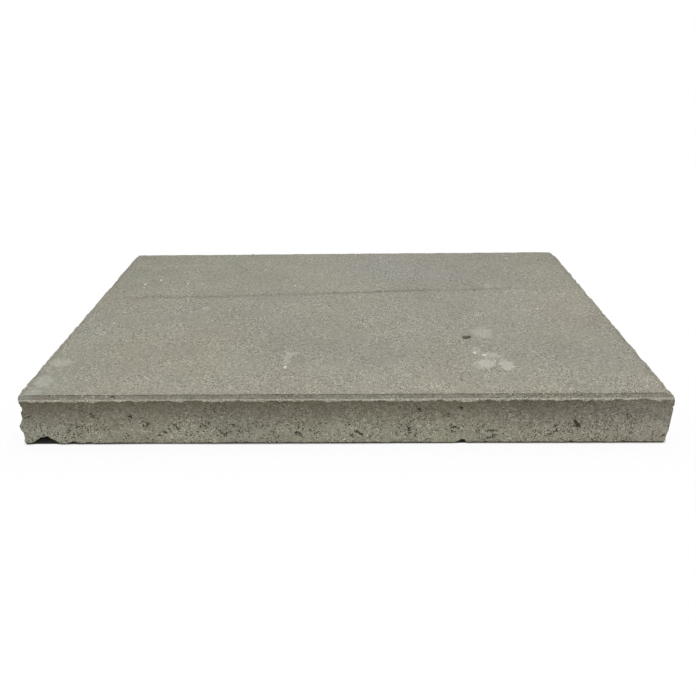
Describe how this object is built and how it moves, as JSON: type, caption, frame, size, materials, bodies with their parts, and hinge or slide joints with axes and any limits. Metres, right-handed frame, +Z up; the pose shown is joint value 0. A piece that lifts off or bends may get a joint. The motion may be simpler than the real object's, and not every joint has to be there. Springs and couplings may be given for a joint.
{
  "type": "concrete patio tile",
  "caption": "Rectangular pressed concrete patio tile lying flat, with a chamfered top edge, a thin raised lip, speckled grey faces and worn, chipped corners.",
  "frame": {"origin": "middle of the underside, which lies on the ground", "axes": "+X along the long sides, +Y across to the undamaged long side, +Z up through the thickness"},
  "size_m": [0.6, 0.4, 0.05],
  "materials": {
    "concrete": "matte cast concrete, fine sand speckle, open pores on the sides"
  },
  "bodies": {
    "root": {"patio_tile": "concrete"}
  },
  "joints": []
}
